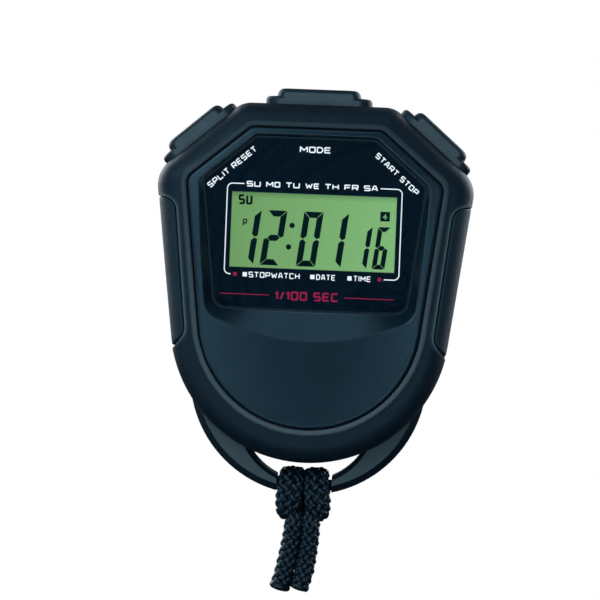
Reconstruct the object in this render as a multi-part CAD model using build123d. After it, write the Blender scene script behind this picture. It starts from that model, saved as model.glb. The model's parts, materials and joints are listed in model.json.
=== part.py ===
import os
from math import cos, radians, sin, tan

from build123d import *

# Handheld digital stopwatch: a shield-shaped case with three push buttons along its top, a liquid-crystal
# display behind a recessed window, a loop at the bottom and a braided cord hitched to the loop.
# Millimetres. X is to the right, Z is up, and the display faces -Y. The rear face lies on Y = 0 and the
# origin is the middle of that face. "Depth" below is the distance in front of the rear face.

# ---- driving dimensions ----
CASE_TOP = 35.4            # level top edge of the case
CASE_TOP_HALF = 15.1       # where the top edge meets a shoulder, before rounding
CASE_ROUNDS = (5.0, 6.0)   # rounding at the top corners and at the outer end of each shoulder
SHOULDER_SLOPE = 40.9      # degrees below level; the side buttons stand square to the shoulders
SIDE_LEAN = 7.4            # degrees that each side leans in towards the bottom
BOTTOM_Z = -8.0            # centre of the round bottom
BOTTOM_R = 27.8
CASE_CREST = 19.6          # greatest depth of the domed rim
DOME_R = 220.0
DOME_Z = -2.0              # height of the dome's highest point
WALL = 2.2
PARTING = 3.6              # depth of the joint between the rear cover and the front case
SEAM = 0.1
FRONT_ROUND = 4.8
REAR_ROUND = 2.8

OPENING_TOP = 30.5         # opening in the rim that holds the face plate
OPENING_TOP_HALF = 12.9
OPENING_SLOPE = 40.0
OPENING_LEAN = 6.9
OPENING_ARC_Z = -6.9
OPENING_R = 22.05
OPENING_ROUNDS = (2.0, 3.0)
FACE_GAP = 0.18            # between the face plate and the opening
BEAD_WIDTH = 1.25          # raised bead round the opening
BEAD_HEIGHT = 0.55
BEAD_ROUND = 0.45
LEDGE_DEPTH = 14.6         # the face plate sits on this ledge
LEDGE_WIDTH = 1.8
LEDGE_THICK = 1.3

FACE_CREST = 20.35         # greatest depth of the domed face plate
FACE_ROUND = 0.7
LIP_ROUND = 0.35           # rounding of the recess's edge
LENS_FRONT = 17.35
LENS_THICK = 1.2
LENS_GAP = 0.12            # all round the lens in its bed
LENS_EDGE = 0.25           # bevel round the front of the lens
LENS_CORNERS = [(11.8, 28.6), (22.15, 19.6), (19.1, -5.5)]     # right-hand corners from the top down
LENS_SAG = 0.2             # how far the bottom edge bows below its corners
LENS_LOW_ROUND = 2.6
MOUTH_CORNERS = [(12.2, 29.7), (24.2, 19.4), (21.2, -7.3)]     # the window recess at the dome's highest level
MOUTH_SAG = 4.9
MOUTH_LOW_ROUND = 4.5
WINDOW_ROUNDS = (0.8, 1.6)     # rounding at the two upper corners of the lens and of the recess
MASK_THICK = 0.12
MASK_REAR = LENS_FRONT - LENS_THICK - MASK_THICK

LCD_Z = 10.05              # height of the display's middle
LCD_HALF = 18.5
LCD_TALL = 10.5            # half height of the front glass
LCD_SHORT = 8.0            # half height of the rear glass, which leaves a ledge for the connectors
LCD_FRONT = 14.2
GLASS = 0.7
REFLECTOR = 0.2
VIEW_HALF = 16.3           # clear area of the mask
VIEW_TALL = 7.45
WINDOW_MARGIN = 0.7        # how much larger the hole in the face plate is

BOARD_REAR = 10.2
BOARD_THICK = 1.0
BOARD_FRONT = BOARD_REAR + BOARD_THICK
BOARD_BOTTOM = -18.0
BOARD_INSET = 5.6

BUTTON_DEPTH = 8.9         # depth of every button's middle
BUTTON_HALF_DEPTH = 4.15   # half of a button's size front to back
MODE_HALF = 10.6           # half length of the mode button's lower step
SIDE_HALF = 9.0            # and of the two side buttons' lower step
SIDE_REACH = 10.6          # from the case's top corner to a side button's middle, along the shoulder
BUTTON_STEP = 1.5          # height of the lower step above the case
BUTTON_HEIGHT = 3.1        # and of the cap's top
BUTTON_CORNER = 2.6
CAP_CORNER = 2.2
CAP_FOOT = 1.75            # how much shorter the cap is at its foot, at each end
CAP_TAPER = 0.85           # and how much shorter again at its top
CAP_LEAN = 0.1             # how much each long side of the cap leans in
CAP_SUNK = 0.4             # how far the cap's foot lies below the case surface, inside the step
CAP_ROUND = 1.25
STEP_ROUND = 0.75
BUTTON_TRAVEL = 0.9
BUTTON_PLAY = 0.15         # clearance between a button and its slot
FLANGE_REACH = 0.5         # how far the flange inside the wall runs past the slot's ends
FLANGE_HIGH = -2.55        # heights in a button are measured from the case surface
FLANGE_LOW = -3.7
FLANGE_CORNER = 1.5
STEM_TIP = -8.1            # the lowest point of the stem's nose
STEM_DEPTH = 8.2
STEM_WIDTH = 2.8
NOSE_R = 0.75
RIB = (5.0, 1.2, 2.0)      # cross rib that stiffens the stem under the flange
RIB_Z = -4.5               # height of the rib's middle

LEAF_ARM = 6.5             # from the leaf's pivot to the stem
LEAF_TIP = 3.6             # how far the leaf runs past the stem
LEAF_THICK = 0.25
LEAF_REST_GAP = 0.05
LEAF_REAR = 6.3
LEAF_FRONT = 9.8
LEAF_TOP = STEM_TIP - LEAF_REST_GAP
CURL_R = 0.7
CURL_PLAY = 0.06
POST_R = 0.4
PIVOT_Z = LEAF_TOP - CURL_R
CONTACT_X = 2.8            # the pin that the leaf is pressed against
CONTACT_R = 0.5
CONTACT_DROP = BUTTON_TRAVEL / LEAF_ARM * (LEAF_ARM + CONTACT_X) + 0.1

LOOP_Z = -18.7             # outside of the cord loop
LOOP_R = 23.7
HOLE_Z = -26.5             # inside of the cord loop
HOLE_R = 13.2
LOOP_REAR = 4.5
LOOP_FRONT = 11.0
LOOP_EDGE = 1.4            # outer bevel
HOLE_EDGE = 0.7            # inner bevel
BAR_Z = -40.4              # straight round bar in the middle of the loop, which the cord is hitched to
BAR_R = 1.1
BAR_HALF = 5.5
BAR_CUT = 9.0              # taller than the loop is there
LOOP_CUT = -21.0           # the loop starts below this height
BAR_SUNK = 0.3             # how far each end of the bar runs into its horn
BAR_DEPTH = (LOOP_REAR + LOOP_FRONT) / 2

CORD_R = 1.95
HITCH_HALF = 5.3
HITCH_R = 3.6
HITCH_BORE_R = 1.17
HITCH_LOW_Z = -47.4
STRAND_TOP_Z = -45.0
STRAND_BEND_Z = -53.5
CORD_END_Z = -61.6
STRANDS = [(-1.8, -4.6), (1.55, -0.75)]    # where each strand leaves the hitch, and where it ends

GRIP_UPPER = (27.35, 15.7)     # corners of the area that a grip covers, seen from the front
GRIP_WAIST = (24.35, -10.8)    # below this one the grip's edge runs out to the side of the case
GRIP_LOWER = (29.0, -16.4)
GRIP_OUTSIDE = 36.0        # well clear of the side of the case
GRIP_TOP_RISE = 1.2        # how far the top edge climbs from the upper corner to there
GRIP_CORNER = 3.0          # rounding of the upper corner and of the waist
GRIP_REAR = 4.3
GRIP_SINK = 0.1            # how far the grip lies below the case surface
GRIP_THICK = 1.2
GRIP_GAP = 0.12            # round the edge of a grip
GRIP_BED = 0.1             # and behind it
GRIP_ROUND = 0.4

SCREW_PILOT_R = 0.85       # pilot holes for the case screws, which their threads just fill
SCREW_HEAD_REAR = 0.6      # the heads sit this far inside the rear face
SCREW_HEAD_R = 1.9
SCREW_SEAT = 2.0           # depth of the recesses for the screw heads
CASE_BOSS_R = 2.7
CASE_SCREW_TIP = 10.5
BOARD_PILOT_R = 0.5
BOARD_HEAD_R = 1.4
BOARD_HEAD_REAR = 9.1
BOARD_BOSS_R = 1.5
BOARD_SCREW_TIP = 13.0
CASE_SCREWS = [(24.6, 14.6), (-24.6, 14.6), (19.2, -18.2), (-19.2, -18.2)]
BOARD_SCREWS = [(22.4, 6.0), (-22.4, 6.0), (20.2, -9.0), (-20.2, -9.0)]

BATTERY_Z = 2.0            # a button cell 11.6 across and 5.3 thick
BATTERY_R = 5.8
BATTERY_REAR = 4.6
BATTERY_FRONT = BATTERY_REAR + 5.3
CLIP_THICK = 0.35
CLIP_HALF = 2.0
BUZZER_Z = -14.0
BUZZER_REAR = 2.05
BUZZER_THICK = 0.25
CERAMIC_THICK = 0.2
FLOOR = 2.0                # thickness of the rear cover's floor
COVER_LIP = 1.05           # thickness of the rear cover's upstanding lip
COVER_LIP_HEIGHT = 0.8     # how far it stands inside the front case
COVER_POST_R = 3.4         # posts round the case screws
PANEL_TOP = 27.0           # panel on the rear face, marked out by a groove
PANEL_TOP_HALF = 11.0
PANEL_R = 17.5
PANEL_ROUNDS = (3.0, 4.0)
GROOVE_WIDTH = 0.7
GROOVE_DEPTH = 0.4
SOUND_HOLE_R = 0.6
SOUND_RING_R = 3.0
SOUND_RING_HOLES = 6
LIP_PLAY = 0.15
FAR = 60.0                 # further than anything reaches, for cutting through


# ---- drawing helpers ----
def slab(face, rear, front):
    """A face drawn in X and Z, made solid between two depths."""
    return extrude(Plane.XZ.offset(rear) * face, front - rear)


def disc(x, z, radius, rear, front):
    return slab(Pos(x, z) * Circle(radius), rear, front)


def block(x_low, x_high, z_low, z_high, rear, front):
    plate = Pos((x_low + x_high) / 2, (z_low + z_high) / 2) * Rectangle(x_high - x_low, z_high - z_low)
    return slab(plate, rear, front)


def near(face, x, z, reach=0.5):
    """The corners of a face that stand at (x, z) or at its mirror image."""
    return [v for v in face.vertices() if abs(abs(v.X) - x) < reach and abs(v.Y - z) < reach]


def shield(top, top_half, slope, lean, arc_z, arc_r, rounds):
    """Level top, two sloping shoulders, and sides that lean in and run smoothly into a round bottom."""
    foot_x = arc_r * cos(radians(lean))
    foot_z = arc_z - arc_r * sin(radians(lean))
    run = 1 / tan(radians(slope))
    shoulder_z = (top_half + top * run - foot_x + foot_z * tan(radians(lean))) / (tan(radians(lean)) + run)
    shoulder_x = top_half + (top - shoulder_z) * run
    upper = Polyline(
        (-foot_x, foot_z), (-shoulder_x, shoulder_z), (-top_half, top),
        (top_half, top), (shoulder_x, shoulder_z), (foot_x, foot_z),
    )
    lower = ThreePointArc((foot_x, foot_z), (0, arc_z - arc_r), (-foot_x, foot_z))
    face = make_face(upper.edges() + lower.edges())
    face = fillet(near(face, top_half, top), rounds[0])
    return fillet(near(face, shoulder_x, shoulder_z), rounds[1])


def case_outline():
    return shield(CASE_TOP, CASE_TOP_HALF, SHOULDER_SLOPE, SIDE_LEAN, BOTTOM_Z, BOTTOM_R, CASE_ROUNDS)


def opening_outline():
    return shield(
        OPENING_TOP, OPENING_TOP_HALF, OPENING_SLOPE, OPENING_LEAN, OPENING_ARC_Z, OPENING_R, OPENING_ROUNDS)


def window_outline(corners, sag, low_round):
    """Outline of the display window: like the opening, but closed below by a shallow arc.

    corners are the right-hand ones from the top down; sag is the depth of the arc.
    """
    top, shoulder, low = corners
    left = [(-x, z) for x, z in reversed(corners)]
    upper = Polyline(*left, *corners)
    lower = ThreePointArc(low, (0, low[1] - sag), left[0])
    face = make_face(upper.edges() + lower.edges())
    face = fillet(near(face, *top), WINDOW_ROUNDS[0])
    face = fillet(near(face, *shoulder), WINDOW_ROUNDS[1])
    return fillet(near(face, *low), low_round)


def lens_outline():
    return window_outline(LENS_CORNERS, LENS_SAG, LENS_LOW_ROUND)


def mouth_outline():
    """The window recess where it would leave the dome's highest level."""
    return window_outline(MOUTH_CORNERS, MOUTH_SAG, MOUTH_LOW_ROUND)


def dome(crest):
    """A ball whose front just reaches the crest depth."""
    return Pos(0, DOME_R - crest, DOME_Z) * Sphere(DOME_R)


def case_body(inset):
    """The whole case as one solid, drawn in by inset all round."""
    outline = offset(case_outline(), -inset) if inset else case_outline()
    body = slab(outline, inset, CASE_CREST + 1) & dome(CASE_CREST - inset)
    front = body.faces().sort_by(Axis.Y)[0]
    body = fillet(front.edges(), FRONT_ROUND - inset)
    rear = body.faces().sort_by(Axis.Y)[-1]
    return fillet(rear.edges(), REAR_ROUND - inset)


# ---- buttons, each drawn at the middle of the case surface it stands on, with Z pointing out ----
def button_place(angle):
    """Moves a button from the origin to the top edge, or to a shoulder when angle isn't zero."""
    if angle == 0:
        return Pos(0, 0, CASE_TOP)
    side = 1 if angle > 0 else -1
    x = CASE_TOP_HALF + SIDE_REACH * cos(radians(SHOULDER_SLOPE))
    z = CASE_TOP - SIDE_REACH * sin(radians(SHOULDER_SLOPE))
    return Pos(side * x, 0, z) * Rot(0, angle, 0)


def button_plate(half_length, half_depth, low, high, corner):
    """A round-cornered plate lying square to the button's travel."""
    middle = Pos(0, -BUTTON_DEPTH, low)
    return extrude(middle * RectangleRounded(2 * half_length, 2 * half_depth, corner), high - low)


def button(half_length):
    """Cap and lower step outside; flange, stem, stiffening rib and rounded nose inside."""
    step = button_plate(half_length, BUTTON_HALF_DEPTH, FLANGE_HIGH, BUTTON_STEP, BUTTON_CORNER)
    step = fillet(step.faces().sort_by(Axis.Z)[-1].edges(), STEP_ROUND)
    foot_half = half_length - CAP_FOOT
    foot = RectangleRounded(2 * foot_half, 2 * BUTTON_HALF_DEPTH, CAP_CORNER)
    top = RectangleRounded(2 * (foot_half - CAP_TAPER), 2 * (BUTTON_HALF_DEPTH - CAP_LEAN), CAP_CORNER)
    cap = loft([Pos(0, -BUTTON_DEPTH, -CAP_SUNK) * foot, Pos(0, -BUTTON_DEPTH, BUTTON_HEIGHT) * top])
    cap = fillet(cap.faces().sort_by(Axis.Z)[-1].edges(), CAP_ROUND)
    flange = button_plate(
        half_length + FLANGE_REACH, BUTTON_HALF_DEPTH, FLANGE_LOW, FLANGE_HIGH, FLANGE_CORNER)
    nose_z = STEM_TIP + NOSE_R
    stem = Pos(0, -STEM_DEPTH, (nose_z + FLANGE_HIGH) / 2) * Box(2 * NOSE_R, STEM_WIDTH, FLANGE_HIGH - nose_z)
    nose = Pos(0, -STEM_DEPTH, nose_z) * Rot(90, 0, 0) * Cylinder(NOSE_R, STEM_WIDTH)
    rib = Pos(0, -STEM_DEPTH, RIB_Z) * Box(*RIB)
    return step + cap + flange + stem + nose + rib


def button_slot(half_length):
    """The opening in the case that a button slides in, with play all round."""
    half_depth = BUTTON_HALF_DEPTH + BUTTON_PLAY
    return button_plate(half_length + BUTTON_PLAY, half_depth, -WALL - 1, 6.0, BUTTON_CORNER + BUTTON_PLAY)


def across(x, z, radius, rear, front):
    """A cylinder lying front to back, given in a button's own directions."""
    return Pos(x, -(rear + front) / 2, z) * Rot(90, 0, 0) * Cylinder(radius, front - rear)


def leaf():
    """A springy contact strip with its end curled round a post."""
    middle = Pos((LEAF_TIP - LEAF_ARM) / 2, -(LEAF_FRONT + LEAF_REAR) / 2, LEAF_TOP - LEAF_THICK / 2)
    strip = middle * Box(LEAF_TIP + LEAF_ARM, LEAF_FRONT - LEAF_REAR, LEAF_THICK)
    curl = across(-LEAF_ARM, PIVOT_Z, CURL_R, LEAF_REAR, LEAF_FRONT)
    return strip + curl - across(-LEAF_ARM, PIVOT_Z, POST_R + CURL_PLAY, LEAF_REAR - 1, LEAF_FRONT + 1)


def leaf_post():
    """The pin through the circuit board that a leaf is curled round."""
    return across(-LEAF_ARM, PIVOT_Z, POST_R, LEAF_REAR - 0.4, BOARD_FRONT)


def contact_post():
    """The pin that the leaf meets when its button is pressed."""
    z = LEAF_TOP - LEAF_THICK - CONTACT_DROP - CONTACT_R
    return across(CONTACT_X, z, CONTACT_R, LEAF_REAR, BOARD_FRONT)


BUTTONS = {
    "mode": (0.0, MODE_HALF),
    "start_stop": (SHOULDER_SLOPE, SIDE_HALF),
    "split_reset": (-SHOULDER_SLOPE, SIDE_HALF),
}


# ---- case ----
def grip_region(side, shrink):
    """The side area that a grip covers, seen from the front."""
    above = (GRIP_OUTSIDE, GRIP_UPPER[1] + GRIP_TOP_RISE)
    below = (GRIP_OUTSIDE, GRIP_LOWER[1])
    corners = [above, GRIP_UPPER, GRIP_WAIST, GRIP_LOWER, below]
    points = [(side * x, z) for x, z in corners]
    face = make_face(Polyline(*points, close=True).edges())
    face = fillet(near(face, *GRIP_UPPER) + near(face, *GRIP_WAIST), GRIP_CORNER)
    return offset(face, -shrink) if shrink else face


def grip(side):
    """A rubber pad that follows the case, with its inner edge rounded."""
    shell = case_body(GRIP_SINK) - case_body(GRIP_SINK + GRIP_THICK)
    pad = (shell & slab(grip_region(side, GRIP_GAP), GRIP_REAR + GRIP_GAP, CASE_CREST)).solid()
    outside = pad.faces().filter_by(GeomType.BSPLINE).sort_by(SortBy.AREA)[-1]
    inner_edge = outside.edges().sort_by(SortBy.LENGTH)[-2]
    return fillet(inner_edge, GRIP_ROUND)


def grip_pocket(side, core):
    return slab(grip_region(side, 0), GRIP_REAR, CASE_CREST + 1) - core


def lengthwise(radius, length):
    """A cylinder along the loop's bar."""
    return Pos(0, -BAR_DEPTH, BAR_Z) * Rot(0, 90, 0) * Cylinder(radius, length)


def arcs_at(solid, radius, depth):
    """The round edges of one radius that lie at one depth."""
    circles = solid.edges().filter_by(GeomType.CIRCLE)
    return [e for e in circles if abs(e.radius - radius) < 0.01 and abs(e.center().Y + depth) < 0.01]


def cord_loop():
    """The loop below the case: two horns joined by a straight round bar."""
    ring = Pos(0, LOOP_Z) * Circle(LOOP_R) - Pos(0, HOLE_Z) * Circle(HOLE_R)
    ring &= Pos(0, LOOP_CUT - FAR / 2) * Rectangle(FAR, FAR)     # only the part below the case's sides
    ring -= Pos(0, BAR_Z) * Rectangle(2 * BAR_HALF, BAR_CUT)
    horns = slab(ring, LOOP_REAR, LOOP_FRONT)
    horns = chamfer(arcs_at(horns, LOOP_R, LOOP_FRONT), LOOP_EDGE)
    horns = fillet(arcs_at(horns, LOOP_R, LOOP_REAR), LOOP_EDGE)
    horns = chamfer(arcs_at(horns, HOLE_R, LOOP_FRONT), HOLE_EDGE)
    horns -= slab(offset(case_outline(), -1.0), 0, CASE_CREST)
    return horns + lengthwise(BAR_R, 2 * (BAR_HALF + BAR_SUNK))


def bead():
    """Raised bead round the opening for the face plate."""
    ring = offset(opening_outline(), BEAD_WIDTH) - opening_outline()
    raised = slab(ring, LEDGE_DEPTH, CASE_CREST + 1) & dome(CASE_CREST + BEAD_HEIGHT)
    return fillet(raised.faces().sort_by(Axis.Y)[0].edges(), BEAD_ROUND)


def front_case():
    body = case_body(0) + bead()
    body -= slab(opening_outline(), LEDGE_DEPTH, CASE_CREST + 3)
    body -= slab(offset(opening_outline(), -LEDGE_WIDTH), 0, CASE_CREST)
    body -= slab(offset(case_outline(), -WALL), 0, LEDGE_DEPTH - LEDGE_THICK)
    body -= block(-FAR, FAR, -FAR, FAR, -1, PARTING)
    for x, z in CASE_SCREWS:
        body += disc(x, z, CASE_BOSS_R, PARTING, LEDGE_DEPTH - 0.5)
    for x, z in BOARD_SCREWS:
        body += disc(x, z, BOARD_BOSS_R, BOARD_FRONT, LEDGE_DEPTH - 0.5)
    for x, z in CASE_SCREWS:
        body -= disc(x, z, SCREW_PILOT_R, 0, CASE_SCREW_TIP + 1)
    for x, z in BOARD_SCREWS:
        body -= disc(x, z, BOARD_PILOT_R, 0, BOARD_SCREW_TIP + 0.6)
    core = case_body(GRIP_SINK + GRIP_THICK + GRIP_BED)
    for side in (1, -1):
        body -= grip_pocket(side, core)
    body += cord_loop()
    for angle, half_length in BUTTONS.values():
        body -= button_place(angle) * button_slot(half_length)
    return body


def sound_holes():
    """The middles of a ring of holes and of one inside it."""
    middles = [(0, BUZZER_Z)]
    for k in range(SOUND_RING_HOLES):
        angle = radians(360 / SOUND_RING_HOLES * k)
        middles.append((SOUND_RING_R * cos(angle), BUZZER_Z + SOUND_RING_R * sin(angle)))
    return middles


def rear_cover():
    front = PARTING - SEAM
    cover = case_body(0) & block(-FAR, FAR, -FAR, FAR, -1, front)
    lip_outside = offset(case_outline(), -WALL - LIP_PLAY)
    lip_inside = offset(case_outline(), -WALL - LIP_PLAY - COVER_LIP)
    cover -= slab(lip_inside, FLOOR, PARTING + 1)
    cover += slab(lip_outside - lip_inside, FLOOR, PARTING + COVER_LIP_HEIGHT)
    for x, z in CASE_SCREWS:
        cover += disc(x, z, COVER_POST_R, FLOOR / 2, front)
        cover -= disc(x, z, CASE_BOSS_R + 1.5, front, FAR)
        cover -= disc(x, z, SCREW_PILOT_R + 0.35, -1, FAR)
        cover -= disc(x, z, SCREW_HEAD_R + 0.3, -1, SCREW_SEAT)
    panel = shield(PANEL_TOP, PANEL_TOP_HALF, SHOULDER_SLOPE, SIDE_LEAN, BOTTOM_Z, PANEL_R, PANEL_ROUNDS)
    cover -= slab(panel - offset(panel, -GROOVE_WIDTH), -1, GROOVE_DEPTH)
    for x, z in sound_holes():
        cover -= disc(x, z, SOUND_HOLE_R, -1, FLOOR + 1)
    return cover


def face_plate():
    outline = offset(opening_outline(), -FACE_GAP)
    plate = slab(outline, LEDGE_DEPTH, FACE_CREST + 1) & dome(FACE_CREST)
    plate = fillet(plate.faces().sort_by(Axis.Y)[0].edges(), FACE_ROUND)
    lens_bed = offset(lens_outline(), LENS_GAP)
    plate -= slab(lens_bed, MASK_REAR - 0.03, LENS_FRONT)
    throat = Plane.XZ.offset(LENS_FRONT - 0.25) * lens_bed
    mouth = Plane.XZ.offset(FACE_CREST + 0.1) * mouth_outline()
    plate -= loft([throat, mouth], ruled=True)
    border = plate.faces().filter_by(GeomType.SPHERE).sort_by(SortBy.AREA)[-1]
    plate = fillet(border.inner_wires()[0].edges(), LIP_ROUND)
    return plate - view_area(WINDOW_MARGIN, 0, CASE_CREST)


def view_area(margin, rear, front):
    """The part of the display that is meant to be seen, grown by a margin."""
    half = VIEW_HALF + margin
    tall = VIEW_TALL + margin
    return block(-half, half, LCD_Z - tall, LCD_Z + tall, rear, front)


def lens():
    plate = slab(lens_outline(), LENS_FRONT - LENS_THICK, LENS_FRONT)
    return chamfer(plate.faces().sort_by(Axis.Y)[0].edges(), LENS_EDGE)


def lens_mask():
    """Printed film on the back of the lens, open over the display."""
    film = slab(offset(lens_outline(), -0.1), MASK_REAR, LENS_FRONT - LENS_THICK)
    return film - view_area(0, 0, CASE_CREST)


# ---- display ----
def lcd_plate(half_height, rear, front):
    return block(-LCD_HALF, LCD_HALF, LCD_Z - half_height, LCD_Z + half_height, rear, front)


def lcd_front_glass():
    return lcd_plate(LCD_TALL, LCD_FRONT - GLASS, LCD_FRONT)


def lcd_rear_glass():
    return lcd_plate(LCD_SHORT, LCD_FRONT - 2 * GLASS, LCD_FRONT - GLASS)


def lcd_reflector():
    return lcd_plate(LCD_SHORT, LCD_FRONT - 2 * GLASS - REFLECTOR, LCD_FRONT - 2 * GLASS)


def lcd_frame():
    """Moulded frame that locates the display and its connectors on the board."""
    wall = 1.3
    play = 0.1
    outside = block(
        -LCD_HALF - wall - play, LCD_HALF + wall + play,
        LCD_Z - LCD_TALL - wall, LCD_Z + LCD_TALL + wall, BOARD_FRONT, LCD_FRONT)
    front_bed = block(
        -LCD_HALF - play, LCD_HALF + play,
        LCD_Z - LCD_TALL - play, LCD_Z + LCD_TALL + play, LCD_FRONT - GLASS, LCD_FRONT + 1)
    rear_bed = lcd_plate(LCD_SHORT + play, LCD_FRONT - 2 * GLASS - REFLECTOR - 0.05, LCD_FRONT)
    through = block(
        -LCD_HALF + 2, LCD_HALF - 2,
        LCD_Z - LCD_TALL + 0.2, LCD_Z + LCD_TALL - 0.2, BOARD_FRONT - 1, LCD_FRONT)
    return outside - front_bed - rear_bed - through


def zebra_strips():
    """Elastic connectors from the board to the ledges of the front glass."""
    strips = []
    for side in (1, -1):
        z = LCD_Z + side * (LCD_SHORT + 1.3)
        strips.append(block(-16.2, 16.2, z - 0.9, z + 0.9, BOARD_FRONT, LCD_FRONT - GLASS))
    return Compound(strips)


# ---- circuit board and what it carries ----
def circuit_board():
    outline = offset(case_outline(), -BOARD_INSET)
    board = slab(outline, BOARD_REAR, BOARD_FRONT)
    board &= block(-FAR, FAR, BOARD_BOTTOM, FAR, 0, FAR)
    for x, z in CASE_SCREWS:
        board -= disc(x, z, CASE_BOSS_R + 0.4, 0, FAR)
    for x, z in BOARD_SCREWS:
        board -= disc(x, z, BOARD_PILOT_R + 0.4, 0, FAR)
    for angle, _ in BUTTONS.values():
        board -= button_place(angle) * leaf_post()
        board -= button_place(angle) * contact_post()
    return board


def battery():
    cell = disc(0, BATTERY_Z, BATTERY_R, BATTERY_REAR, BATTERY_FRONT)
    return chamfer(cell.edges(), 0.35)


def battery_negative_contact():
    return disc(0, BATTERY_Z, 4.0, BATTERY_FRONT, BOARD_REAR)


def battery_clip():
    """A bent strip that holds the cell and carries its positive side to the board."""
    reach = BATTERY_R + 1.1
    rear = BATTERY_REAR - CLIP_THICK
    low = BATTERY_Z - CLIP_HALF
    high = BATTERY_Z + CLIP_HALF
    bridge = block(-reach, reach, low, high, rear, BATTERY_REAR)
    left_leg = block(-reach, CLIP_THICK - reach, low, high, rear, BOARD_REAR)
    right_leg = block(reach - CLIP_THICK, reach, low, high, rear, BOARD_REAR)
    return bridge + left_leg + right_leg


def chip_cover():
    """Black resin poured over the chip."""
    resin = disc(12.0, 12.0, 4.4, BOARD_REAR - 1.3, BOARD_REAR)
    return fillet(resin.faces().sort_by(Axis.Y)[-1].edges(), 1.2)


def quartz_crystal():
    """A small metal can lying on the board, with two wire leads."""
    x, z, radius, length = -13.0, 13.0, 1.0, 6.0
    can = Pos(x, -BOARD_REAR + radius + 0.05, z) * Cylinder(radius, length)
    can = fillet(can.edges(), 0.3)
    leads = [Pos(x + dx, -BOARD_REAR + 0.6, z - 4.4) * Box(0.3, 1.1, 2.9) for dx in (-0.5, 0.5)]
    return can + leads[0] + leads[1]


CHIP_PLACES = [(-9.0, 17.0), (-6.4, 17.0), (6.2, 18.5), (-13.0, 3.0), (-10.6, 3.0), (12.0, 3.5), (9.5, 3.5)]


def chip_parts():
    """Surface-mounted capacitors and resistors."""
    return Compound([
        block(x - 0.6, x + 0.6, z - 1.0, z + 1.0, BOARD_REAR - 0.7, BOARD_REAR) for x, z in CHIP_PLACES])


def buzzer_disc():
    return disc(0, BUZZER_Z, 9.0, BUZZER_REAR, BUZZER_REAR + BUZZER_THICK)


def buzzer_ceramic():
    rear = BUZZER_REAR + BUZZER_THICK
    return disc(0, BUZZER_Z, 6.4, rear, rear + CERAMIC_THICK)


def buzzer_spring():
    """Coil that carries the sound signal from the board to the buzzer."""
    wire_r = 0.22
    gap = 0.05
    rear = BUZZER_REAR + BUZZER_THICK + CERAMIC_THICK
    coil = Helix(pitch=1.1, height=BOARD_REAR - rear - 2 * (wire_r + gap), radius=1.3)
    path = Pos(0, -rear - gap - wire_r, BUZZER_Z) * Rot(90, 0, 0) * coil
    section = Plane(origin=path @ 0, z_dir=path % 0) * Circle(wire_r)
    return sweep(section, path=path)


# ---- fasteners ----
def screw(x, z, head_r, head_rear, shank_r, seat, tip):
    """A pan-head screw with a cross recess, its head towards the rear."""
    head = disc(x, z, head_r, head_rear, seat)
    head = fillet(head.faces().sort_by(Axis.Y)[-1].edges(), 0.3)
    body = head + disc(x, z, shank_r, seat, tip)
    arm = head_r * 0.62
    slot = head_r * 0.17
    recess = head_rear + 0.6
    body -= block(x - arm, x + arm, z - slot, z + slot, head_rear - 1, recess)
    body -= block(x - slot, x + slot, z - arm, z + arm, head_rear - 1, recess)
    return body


def case_screws():
    return Compound([
        screw(x, z, SCREW_HEAD_R, SCREW_HEAD_REAR, SCREW_PILOT_R, SCREW_SEAT, CASE_SCREW_TIP)
        for x, z in CASE_SCREWS])


def board_screws():
    return Compound([
        screw(x, z, BOARD_HEAD_R, BOARD_HEAD_REAR, BOARD_PILOT_R, BOARD_REAR, BOARD_SCREW_TIP)
        for x, z in BOARD_SCREWS])


# ---- cord ----
def strand(top_x, low_x):
    """One hanging end of the cord, in a gentle curve."""
    bend_x = 0.72 * top_x + 0.28 * low_x
    path = Spline([(top_x, -BAR_DEPTH, STRAND_TOP_Z), (bend_x, -BAR_DEPTH, STRAND_BEND_Z),
                   (low_x, -BAR_DEPTH, CORD_END_Z)])
    section = Plane(origin=path @ 0, z_dir=path % 0) * Circle(CORD_R)
    return sweep(section, path=path)


def lanyard():
    """The doubled cord, hitched round the bar of the loop, with both strands hanging down."""
    wrap = lengthwise(HITCH_R, 2 * HITCH_HALF)
    lobe_height = BAR_Z - HITCH_LOW_Z
    lobe = Pos(0, -BAR_DEPTH, HITCH_LOW_Z + lobe_height / 2) * Box(2 * HITCH_HALF, 2 * HITCH_R, lobe_height)
    lobe = fillet(lobe.edges().filter_by(Axis.Y).group_by(Axis.Z)[0], 2.5)
    knot = wrap + lobe - lengthwise(HITCH_BORE_R, FAR)
    for top_x, low_x in STRANDS:
        knot += strand(top_x, low_x)
    return knot


def save(name, shape):
    export_step(shape, f"parts/{name}.step")


PIECES = {
    "front_case": front_case,
    "rear_cover": rear_cover,
    "face_plate": face_plate,
    "lens": lens,
    "lens_mask": lens_mask,
    "lcd_front_glass": lcd_front_glass,
    "lcd_rear_glass": lcd_rear_glass,
    "lcd_reflector": lcd_reflector,
    "lcd_frame": lcd_frame,
    "zebra_strips": zebra_strips,
    "circuit_board": circuit_board,
    "battery": battery,
    "battery_negative_contact": battery_negative_contact,
    "battery_clip": battery_clip,
    "chip_cover": chip_cover,
    "quartz_crystal": quartz_crystal,
    "chip_parts": chip_parts,
    "buzzer_disc": buzzer_disc,
    "buzzer_ceramic": buzzer_ceramic,
    "buzzer_spring": buzzer_spring,
    "case_screws": case_screws,
    "board_screws": board_screws,
    "lanyard": lanyard,
}


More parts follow.
